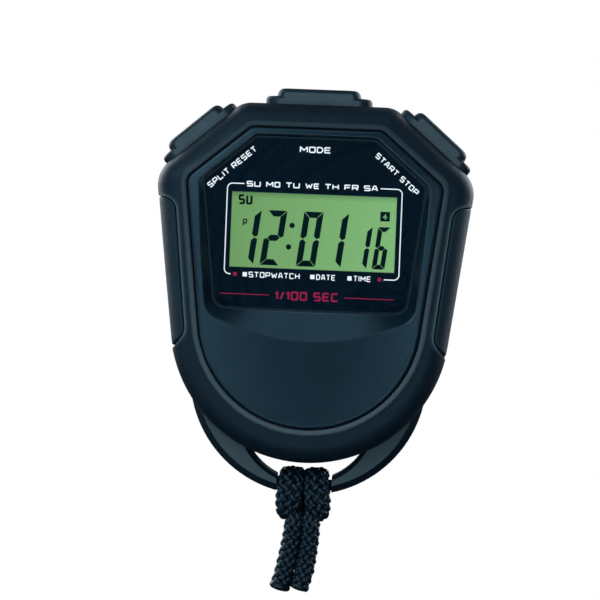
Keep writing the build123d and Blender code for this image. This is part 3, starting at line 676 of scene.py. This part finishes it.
def show_time():
    ink = printed_ink("segment_dark", rgb(4, 40, 44), 0.3)
    outlines = []
    for digit, x in LARGE_DIGITS:
        outlines += [lean(segment(bar, *LARGE_SIZE), x, DIGITS_FOOT) for bar in LIT[digit]]
    for digit, x in SMALL_DIGITS:
        outlines += [lean(segment(bar, *SMALL_SIZE, gap=0.08), x, DIGITS_FOOT) for bar in LIT[digit]]
    for x, z in COLON:
        outlines.append(arc(x * MM, DISPLAY_Z + z * MM, 0.54 * MM, 0, 345, 23))
    outlines.append(square(ARROW_BOX[0] * MM, DISPLAY_Z + ARROW_BOX[1] * MM, 1.9 * MM))
    add_piece("lcd_digits", plate_mesh(outlines, SEGMENT_Y, 0.02 * MM), ink)

    words = letters("SU", 2.8 * MM, 2.0 * MM, -13.75 * MM, DISPLAY_Z + 6.0 * MM, weight=0.22, spacing=0.1)
    words += letters("P", 0.85 * MM, 1.5 * MM, -13.7 * MM, DISPLAY_Z + 1.45 * MM, weight=0.17)
    add_piece("lcd_words", plate_mesh(words, SEGMENT_Y, 0.02 * MM), ink)

    arrow = [(-0.5, -0.25), (0.0, -0.25), (0.0, -0.6), (0.25, -0.6), (0.25, -0.25), (0.5, -0.25),
             (0.5, 0.0), (0.25, 0.0), (0.25, 0.6)]
    # Painted light: the pale arrow glows.
    pale = printed_ink("segment_clear", rgb(150, 200, 146), 0.4, 0.35)
    shape = [((ARROW_AT[0] + x) * MM, DISPLAY_Z + (ARROW_AT[1] + z) * MM) for x, z in arrow]
    add_piece("lcd_arrow", plate_mesh([shape], SEGMENT_Y - 0.02 * MM, 0.02 * MM), pale)


# ---- cord ----
def from_bar(x, ahead, up):
    """A place given from the loop's bar, in millimetres: right, towards the viewer, and up."""
    return BAR + Vector((x, -ahead, up)) * MM


def cord_controls():
    """Middle line of the cord, from the right strand's end through the hitch to the left strand's end.

    Each entry is a place, the direction of the cord's flat side, and its half width and half thickness.
    """
    half = [
        ((1.5, -0.7, -3.7), (0, -0.5, -0.8), 1.9, 1.6),
        ((2.4, -2.7, -1.0), (0, -1, -0.3), 2.4, 1.2),
        ((2.45, -1.9, 1.8), (0, -0.7, 0.7), 2.5, 1.15),
        ((2.4, 0.3, 2.5), (0, 0.1, 1), 2.55, 1.15),
        ((2.55, 2.4, 1.2), (0, 0.9, 0.5), 2.75, 1.35),
        ((2.7, 3.3, -1.2), (0, 1, 0), 2.8, 1.5),
        ((3.0, 3.0, -3.5), (0, 1, -0.2), 2.7, 1.7),
        ((3.45, 1.5, -5.4), (0, 0.6, -0.8), 2.0, 1.75),
        ((2.2, -1.0, -5.9), (0, 0.3, -1), 1.8, 1.8),
    ]
    right_end = [
        ((-0.4, 0.0, -20.8), (0, 1, 0), 2.1, 2.05),
        ((0.6, 0.1, -17.5), (0, 1, 0), 2.1, 2.05),
        ((1.15, 0.6, -13.8), (0, 1, 0), 2.1, 2.05),
        ((1.55, 1.3, -10.2), (0, 1, 0), 2.05, 2.0),
        ((1.65, 1.9, -6.8), (0, 1, 0), 1.95, 1.9),
    ]
    left_end = [
        ((-4.25, 0.0, -21.2), (0, 1, 0), 2.1, 2.05),
        ((-3.3, 0.1, -17.5), (0, 1, 0), 2.1, 2.05),
        ((-2.55, 0.6, -13.8), (0, 1, 0), 2.1, 2.05),
        ((-2.0, 1.3, -10.2), (0, 1, 0), 2.05, 2.0),
        ((-1.75, 1.9, -6.8), (0, 1, 0), 1.95, 1.9),
    ]
    middle = [((0.0, -2.0, -5.8), (0, 0, -1), 1.7, 1.8)]
    shift = -0.05
    right_half = [((x + shift, a, u), n, w, t) for (x, a, u), n, w, t in half]
    left_half = [((-x + shift, a, u), n, w, t) for (x, a, u), n, w, t in reversed(half)]
    return right_end + right_half + middle + left_half + left_end[::-1]


def catmull(p0, p1, p2, p3, t):
    return 0.5 * (2 * p1 + (p2 - p0) * t + (2 * p0 - 5 * p1 + 4 * p2 - p3) * t * t
                  + (3 * p1 - p0 - 3 * p2 + p3) * t ** 3)


def smooth_line(controls, step):
    """Evenly spaced sections along the cord: (distance, middle, tangent, thick way, wide way, halves)."""
    values = []
    for place, flat, wide, thick in controls:
        spot = from_bar(*place)
        values.append(list(spot) + [flat[0], -flat[1], flat[2], wide * MM, thick * MM])
    ends = [values[0]] + values + [values[-1]]
    dense = []
    for i in range(1, len(ends) - 2):
        quad = ends[i - 1:i + 3]
        for k in range(40):
            dense.append([catmull(*(q[c] for q in quad), k / 40) for c in range(8)])
    dense.append(values[-1])
    even, travelled, wanted = [], 0.0, 0.0
    for a, b in zip(dense, dense[1:]):
        length = (Vector(b[:3]) - Vector(a[:3])).length
        while wanted <= travelled + length and length > 0:
            share = (wanted - travelled) / length
            even.append([x + (y - x) * share for x, y in zip(a, b)])
            wanted += step
        travelled += length
    sections = []
    for i, row in enumerate(even):
        before = Vector(even[max(i - 1, 0)][:3])
        after = Vector(even[min(i + 1, len(even) - 1)][:3])
        tangent = (after - before).normalized()
        flat = Vector(row[3:6])
        thick = (flat - tangent * flat.dot(tangent)).normalized()
        sections.append((i * step, Vector(row[:3]), tangent, thick, tangent.cross(thick), row[6], row[7]))
    return sections


YARNS = 6                  # yarns each way round
LEAD = 11.5 * MM           # length in which a yarn goes once round
YARN_HALF = 0.55 * MM
YARN_THICK = 0.42 * MM
WEAVE = 0.3 * MM          # how far a yarn rises and dips
YARN_SIDES = 8
CORE_SIDES = 16
END_SIDES = 24


def tube(mesh, uv, rings, material=0):
    """Skins a closed run of rings, each a list of (place, u, v)."""
    rows = [[mesh.verts.new(place) for place, _, _ in ring] for ring in rings]
    for (low, low_data), (high, high_data) in zip(zip(rows, rings), zip(rows[1:], rings[1:])):
        count = len(low)
        for i in range(count):
            j = (i + 1) % count
            face = mesh.faces.new((low[i], low[j], high[j], high[i]))
            face.material_index = material
            face.smooth = True
            wrap = 1.0 if j == 0 else 0.0
            corners = (low_data[i], low_data[j], high_data[j], high_data[i])
            for loop, (_, u, v), extra in zip(face.loops, corners, (0, wrap, wrap, 0)):
                loop[uv].uv = (u, v + extra)
    for row, flip in ((rows[0], True), (rows[-1], False)):
        face = mesh.faces.new(row[::-1] if flip else row)
        face.material_index = material
        face.smooth = True


def yarn_places(sections, way, number, wobble):
    """Middle line of one yarn with the outward direction at each place."""
    places = []
    for distance, middle, _, thick, wide, half_wide, half_thick in sections:
        angle = way * 2 * math.pi * distance / LEAD + 2 * math.pi * number / YARNS
        over = way * math.cos(2 * math.pi * YARNS * distance / LEAD)
        cos, sin = math.cos(angle), math.sin(angle)
        outward = (wide * (cos / half_wide) + thick * (sin / half_thick)).normalized()
        inset = WEAVE + YARN_THICK
        base = middle + wide * cos * (half_wide - inset) + thick * sin * (half_thick - inset)
        lift = WEAVE * over + wobble * math.sin(distance / (3.1 * MM) + number * 1.7)
        places.append((base + outward * lift, outward))
    return places


def braid(mesh, uv, sections):
    for way in (1, -1):
        for number in range(YARNS):
            wobble = random.uniform(0.01, 0.05) * MM
            places = yarn_places(sections, way, number, wobble)
            rings = []
            for i, (spot, outward) in enumerate(places):
                before = places[max(i - 1, 0)][0]
                after = places[min(i + 1, len(places) - 1)][0]
                along = (after - before).normalized()
                side = along.cross(outward).normalized()
                rise = side.cross(along)
                ring = []
                for k in range(YARN_SIDES):
                    turn = 2 * math.pi * k / YARN_SIDES
                    offset = side * (YARN_HALF * math.cos(turn)) + rise * (YARN_THICK * math.sin(turn))
                    ring.append((spot + offset, i * 0.2, k / YARN_SIDES))
                rings.append(ring)
            tube(mesh, uv, rings)


def cord_core(mesh, uv, sections):
    """Dark filling inside the braid, so that nothing shows through it."""
    inset = 2 * WEAVE + YARN_THICK
    rings = []
    for distance, middle, _, thick, wide, half_wide, half_thick in sections:
        ring = []
        for k in range(CORE_SIDES):
            turn = 2 * math.pi * k / CORE_SIDES
            spot = wide * math.cos(turn) * (half_wide - inset) + thick * math.sin(turn) * (half_thick - inset)
            ring.append((middle + spot, distance / MM, k / CORE_SIDES))
        rings.append(ring)
    tube(mesh, uv, rings)


def melted_end(mesh, uv, section, way):
    """The cord's heat-sealed end: a lumpy cap that grips the yarns."""
    _, middle, tangent, thick, wide, half_wide, half_thick = section
    profile = [(0.9, 0.93), (0.5, 1.0), (0.1, 0.98), (-0.25, 0.84), (-0.42, 0.55), (-0.46, 0.2)]
    rings = []
    for back, share in profile:
        ring = []
        for k in range(END_SIDES):
            turn = 2 * math.pi * k / END_SIDES
            lump = 1 + 0.03 * math.sin(5 * turn) + 0.02 * math.sin(9 * turn + 1)
            spot = (wide * math.cos(turn) * half_wide + thick * math.sin(turn) * half_thick) * share * lump
            ring.append((middle + tangent * way * back * MM + spot, back, k / END_SIDES))
        rings.append(ring)
    tube(mesh, uv, rings, material=1)


def make_cord():
    random.seed(7)
    sections = smooth_line(cord_controls(), 0.2 * MM)
    mesh = bmesh.new()
    uv = mesh.loops.layers.uv.new("along")
    braid(mesh, uv, sections)
    cord_core(mesh, uv, sections)
    melted_end(mesh, uv, sections[0], 1)
    melted_end(mesh, uv, sections[-1], -1)
    bmesh.ops.recalc_face_normals(mesh, faces=mesh.faces)
    piece = add_piece("braided_cord", mesh, braided_fibre(), "cord")
    melted = satin_plastic("cord_melt", rgb(12, 16, 22), rgb(18, 24, 30), 0.3, grain=0.0005)
    piece.data.materials.append(melted)
    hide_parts("lanyard")


# ---- stage, light and camera ----
def make_floor():
    """A pale floor a little below the hanging cord."""
    mesh = bmesh.new()
    bmesh.ops.create_grid(mesh, x_segments=24, y_segments=24, size=3.0)
    for v in mesh.verts:
        v.co.z = cord_low.z - 0.02
    data = bpy.data.meshes.new("floor")
    mesh.to_mesh(data)
    mesh.free()
    floor = bpy.data.objects.new("floor", data)
    bpy.context.scene.collection.objects.link(floor)
    data.materials.append(floor_paint())
    floor.visible_glossy = False
    floor.visible_diffuse = False
    floor.visible_shadow = False


def make_world():
    """White to the camera; a soft studio sky, bright above and dark below, to everything else."""
    world = bpy.data.worlds.new("studio")
    bpy.context.scene.world = world
    world.use_nodes = True
    tree = world.node_tree
    tree.nodes.clear()
    coords = tree.nodes.new("ShaderNodeTexCoord")
    split = tree.nodes.new("ShaderNodeSeparateXYZ")
    tree.links.new(coords.outputs["Generated"], split.inputs[0])
    ramp = tree.nodes.new("ShaderNodeValToRGB")
    tree.links.new(split.outputs["Z"], ramp.inputs["Fac"])
    ramp.color_ramp.elements[0].color = (0.01, 0.013, 0.016, 1)
    ramp.color_ramp.elements[1].color = (0.12, 0.135, 0.15, 1)
    middle = ramp.color_ramp.elements.new(0.25)
    middle.color = (0.12, 0.14, 0.155, 1)
    behind = tree.nodes.new("ShaderNodeMapRange")
    tree.links.new(split.outputs["Y"], behind.inputs["Value"])
    behind.inputs["From Min"].default_value = 0.1
    behind.inputs["From Max"].default_value = 0.8
    behind.inputs["To Min"].default_value = 0.9
    behind.inputs["To Max"].default_value = 2.2
    sky = tree.nodes.new("ShaderNodeBackground")
    tree.links.new(ramp.outputs["Color"], sky.inputs["Color"])
    tree.links.new(behind.outputs["Result"], sky.inputs["Strength"])
    backdrop = tree.nodes.new("ShaderNodeBackground")
    backdrop.inputs["Color"].default_value = (1, 1, 1, 1)
    backdrop.inputs["Strength"].default_value = 1.0
    path = tree.nodes.new("ShaderNodeLightPath")
    chosen = tree.nodes.new("ShaderNodeMixShader")
    tree.links.new(path.outputs["Is Camera Ray"], chosen.inputs[0])
    tree.links.new(sky.outputs[0], chosen.inputs[1])
    tree.links.new(backdrop.outputs[0], chosen.inputs[2])
    output = tree.nodes.new("ShaderNodeOutputWorld")
    tree.links.new(chosen.outputs[0], output.inputs["Surface"])


def soft_light(name, place, aim, size, power, colour=(1, 1, 1)):
    data = bpy.data.lights.new(name, "AREA")
    data.shape = "RECTANGLE"
    data.size, data.size_y = size
    data.energy = power
    data.color = colour
    light = bpy.data.objects.new(name, data)
    light.location = place
    light.rotation_euler = (Vector(aim) - Vector(place)).to_track_quat("-Z", "Y").to_euler()
    bpy.context.scene.collection.objects.link(light)


def make_lights():
    middle = (case_low + case_high) / 2
    soft_light("key", (-0.36, -0.58, 0.36), middle, (0.4, 0.4), 2.0)
    soft_light("top", (0.05, -0.36, 0.6), middle, (0.5, 0.2), 0.45)
    soft_light("right", (0.24, -0.63, -0.1), middle, (0.06, 0.5), 0.75)
    soft_light("left", (-0.24, -0.63, -0.14), middle, (0.06, 0.4), 0.45)
    soft_light("low", (0.0, -0.52, -0.36), middle, (0.5, 0.08), 0.5)
    soft_light("low left", (-0.55, -0.3, -0.2), middle, (0.2, 0.2), 0.4)
    for side in (-1, 1):
        soft_light("side", (side * 0.68, 0.12, 0.12), middle, (0.3, 0.5), 0.5)
        soft_light("rear", (side * 0.5, 0.45, 0.25), middle, (0.4, 0.5), 4.0)


CAMERA_AZIMUTH = 2.2
CAMERA_ELEVATION = 0.5
CAMERA_ROLL = 2.3
CAMERA_DISTANCE = 0.5
PICTURE_WIDTH = 0.12       # metres across the picture, at the case's middle depth
AIM_X = -2.3 * MM
AIM_ABOVE_LOOP = 38.25 * MM                # from the loop's lowest point up to the middle of the picture


def make_camera():
    data = bpy.data.cameras.new("camera")
    camera = bpy.data.objects.new("camera", data)
    bpy.context.scene.collection.objects.link(camera)
    azimuth, elevation = math.radians(CAMERA_AZIMUTH), math.radians(CAMERA_ELEVATION)
    aim = Vector((AIM_X, (case_low.y + cover_high.y) / 2, case_low.z + AIM_ABOVE_LOOP))
    back = Vector((math.sin(azimuth) * math.cos(elevation), -math.cos(azimuth) * math.cos(elevation),
                   math.sin(elevation)))
    camera.location = aim + back * CAMERA_DISTANCE
    camera.rotation_mode = "QUATERNION"
    upright = (-back).to_track_quat("-Z", "Y")
    camera.rotation_quaternion = upright @ Quaternion((0, 0, 1), math.radians(CAMERA_ROLL))
    data.sensor_width = 36.0
    data.lens = data.sensor_width * CAMERA_DISTANCE / PICTURE_WIDTH
    data.clip_start = 0.01
    bpy.context.scene.camera = camera


paint_nodes()
print_lens()
show_time()
make_cord()
make_floor()
make_world()
make_lights()
make_camera()
bpy.context.scene.view_settings.view_transform = "Standard"
